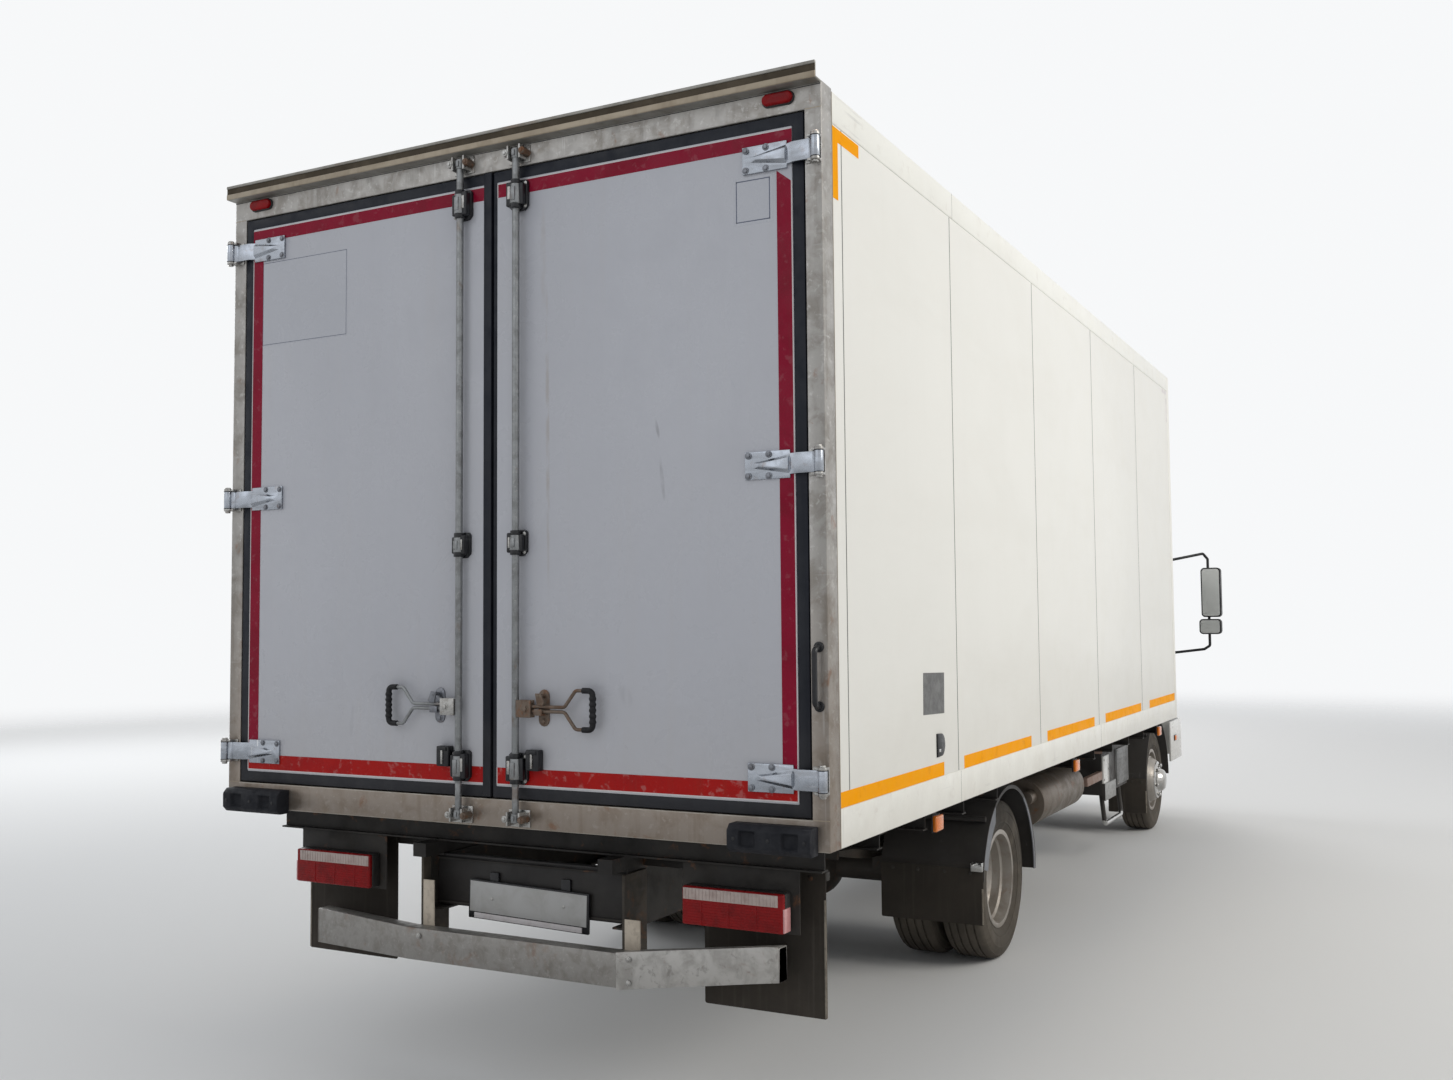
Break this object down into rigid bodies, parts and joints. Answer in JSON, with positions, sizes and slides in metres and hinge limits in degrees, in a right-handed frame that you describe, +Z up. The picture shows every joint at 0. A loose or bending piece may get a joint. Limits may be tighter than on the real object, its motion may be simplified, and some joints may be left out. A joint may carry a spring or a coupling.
{
  "type": "refrigerated truck",
  "caption": "Two-axle forward-control truck with an insulated box body, rear barn doors and a front-wall cooling unit.",
  "frame": {"origin": "on the ground, under the middle of the whole truck's box", "axes": "+X forward, +Y to the driver's left, +Z up"},
  "size_m": [8.415, 2.746, 3.4359],
  "materials": {
    "chassis_steel": "dusty satin",
    "engine_iron": "plain",
    "axle_iron": "dusty black paint",
    "spring_steel": "dusty",
    "tank_metal": "satin",
    "exhaust_steel": "heat stained",
    "black_plastic": "matte",
    "guard_plastic": "dusty",
    "flap_rubber": "chalky",
    "galvanised_steel": "mottled",
    "red_lens": "gloss",
    "amber_lens": "gloss",
    "clear_lens": "clear",
    "bumper_white": "satin",
    "floor_aluminium": "scuffed",
    "panel_white": "satin",
    "rail_white": "satin",
    "frame_steel": "mottled",
    "fitting_steel": "worn",
    "buffer_rubber": "worn",
    "unit_white": "satin",
    "cab_paint": "gloss",
    "clear_glass": "clear",
    "seat_fabric": "woven",
    "dash_plastic": "grained",
    "door_white": "satin, streaked",
    "seal_rubber": "matte",
    "strap_steel": "polished",
    "rod_steel": "galvanised, rusty in places",
    "tyre_rubber": "dusty",
    "rim_silver": "dusty silver"
  },
  "bodies": {
    "chassis": {"ladder_frame": "chassis_steel", "subframe": "chassis_steel", "engine_block": "engine_iron", "front_axle_beam": "axle_iron", "rear_axle": "axle_iron", "leaf_springs": "spring_steel", "fuel_tank": "tank_metal", "silencer": "exhaust_steel", "battery_box": "black_plastic", "rear_mudguards": "guard_plastic", "front_mudguards": "guard_plastic", "mud_flaps": "flap_rubber", "flap_carriers": "chassis_steel", "underrun_bar": "galvanised_steel", "rear_lamps": "red_lens", "side_markers": "amber_lens", "front_bumper": "bumper_white", "headlamps": "clear_lens", "box_floor": "floor_aluminium", "box_front_wall": "panel_white", "box_roof": "panel_white", "box_edge_rails": "rail_white", "box_side_left": "panel_white", "box_side_right": "panel_white", "rear_frame": "frame_steel", "frame_fittings": "fitting_steel", "corner_buffers": "buffer_rubber", "cooling_unit": "unit_white", "evaporator": "unit_white"},
    "cab": {"cab_floor": "cab_paint", "cab_back": "cab_paint", "cab_nose": "cab_paint", "cab_roof": "cab_paint", "windscreen": "clear_glass", "seats": "seat_fabric", "dashboard": "dash_plastic", "mirrors": "black_plastic"},
    "cab_door_left": {"cab_door_left": "cab_paint", "cab_door_glass_left": "clear_glass"},
    "box_door_left": {"box_door_left": "door_white", "door_seal_left": "seal_rubber", "door_straps_left": "strap_steel", "door_lock_left": "rod_steel"},
    "rear_wheels_left": {"rear_tyres_left": "tyre_rubber", "rear_rims_left": "rim_silver"},
    "knuckle_left": {"knuckle_left": "axle_iron"},
    "front_wheel_left": {"front_tyre_left": "tyre_rubber", "front_rim_left": "rim_silver"},
    "cab_door_right": {"cab_door_right": "cab_paint", "cab_door_glass_right": "clear_glass"},
    "box_door_right": {"box_door_right": "door_white", "door_seal_right": "seal_rubber", "door_straps_right": "strap_steel", "door_lock_right": "rod_steel"},
    "rear_wheels_right": {"rear_tyres_right": "tyre_rubber", "rear_rims_right": "rim_silver"},
    "knuckle_right": {"knuckle_right": "axle_iron"},
    "front_wheel_right": {"front_tyre_right": "tyre_rubber", "front_rim_right": "rim_silver"},
    "track_rod": {"track_rod": "axle_iron"}
  },
  "joints": [
    {"name": "rear_roll_left", "type": "hinge", "parent": "chassis", "child": "rear_wheels_left", "pos_m": [-1.3925, 0.795, 0.3835], "axis": [0, 1, 0], "continuous": true},
    {"name": "steer_left", "type": "hinge", "parent": "chassis", "child": "knuckle_left", "pos_m": [3.0825, 0.68, 0.3835], "axis": [0, 0, 1], "range_deg": [-38, 38]},
    {"name": "front_roll_left", "type": "hinge", "parent": "knuckle_left", "child": "front_wheel_left", "pos_m": [3.0825, 0.83, 0.3835], "axis": [0, 1, 0], "continuous": true},
    {"name": "cab_door_left_swing", "type": "hinge", "parent": "cab", "child": "cab_door_left", "pos_m": [3.8015, 0.965, 1.3], "axis": [0, 0, -1], "range_deg": [0, 70]},
    {"name": "box_door_left_swing", "type": "hinge", "parent": "chassis", "child": "box_door_left", "pos_m": [-4.1725, 1.29, 2.165], "axis": [0, 0, -1], "range_deg": [0, 260]},
    {"name": "rear_roll_right", "type": "hinge", "parent": "chassis", "child": "rear_wheels_right", "pos_m": [-1.3925, -0.795, 0.3835], "axis": [0, 1, 0], "continuous": true},
    {"name": "steer_right", "type": "hinge", "parent": "chassis", "child": "knuckle_right", "pos_m": [3.0825, -0.68, 0.3835], "axis": [0, 0, 1], "range_deg": [-38, 38]},
    {"name": "front_roll_right", "type": "hinge", "parent": "knuckle_right", "child": "front_wheel_right", "pos_m": [3.0825, -0.83, 0.3835], "axis": [0, 1, 0], "continuous": true},
    {"name": "cab_door_right_swing", "type": "hinge", "parent": "cab", "child": "cab_door_right", "pos_m": [3.8015, -0.965, 1.3], "axis": [0, 0, 1], "range_deg": [0, 70]},
    {"name": "box_door_right_swing", "type": "hinge", "parent": "chassis", "child": "box_door_right", "pos_m": [-4.1725, -1.29, 2.165], "axis": [0, 0, 1], "range_deg": [0, 260]},
    {"name": "track_rod_swivel", "type": "hinge", "parent": "knuckle_left", "child": "track_rod", "pos_m": [2.9025, 0.68, 0.3], "axis": [0, 0, 1], "range_deg": [-38, 38]},
    {"name": "cab_tilt", "type": "hinge", "parent": "chassis", "child": "cab", "pos_m": [3.9475, 0, 0.805], "axis": [0, 1, 0], "range_deg": [0, 45]}
  ],
  "couplings": [
    {"joint": "steer_right", "follows": "steer_left", "ratio": 1},
    {"joint": "track_rod_swivel", "follows": "steer_left", "ratio": -1}
  ]
}
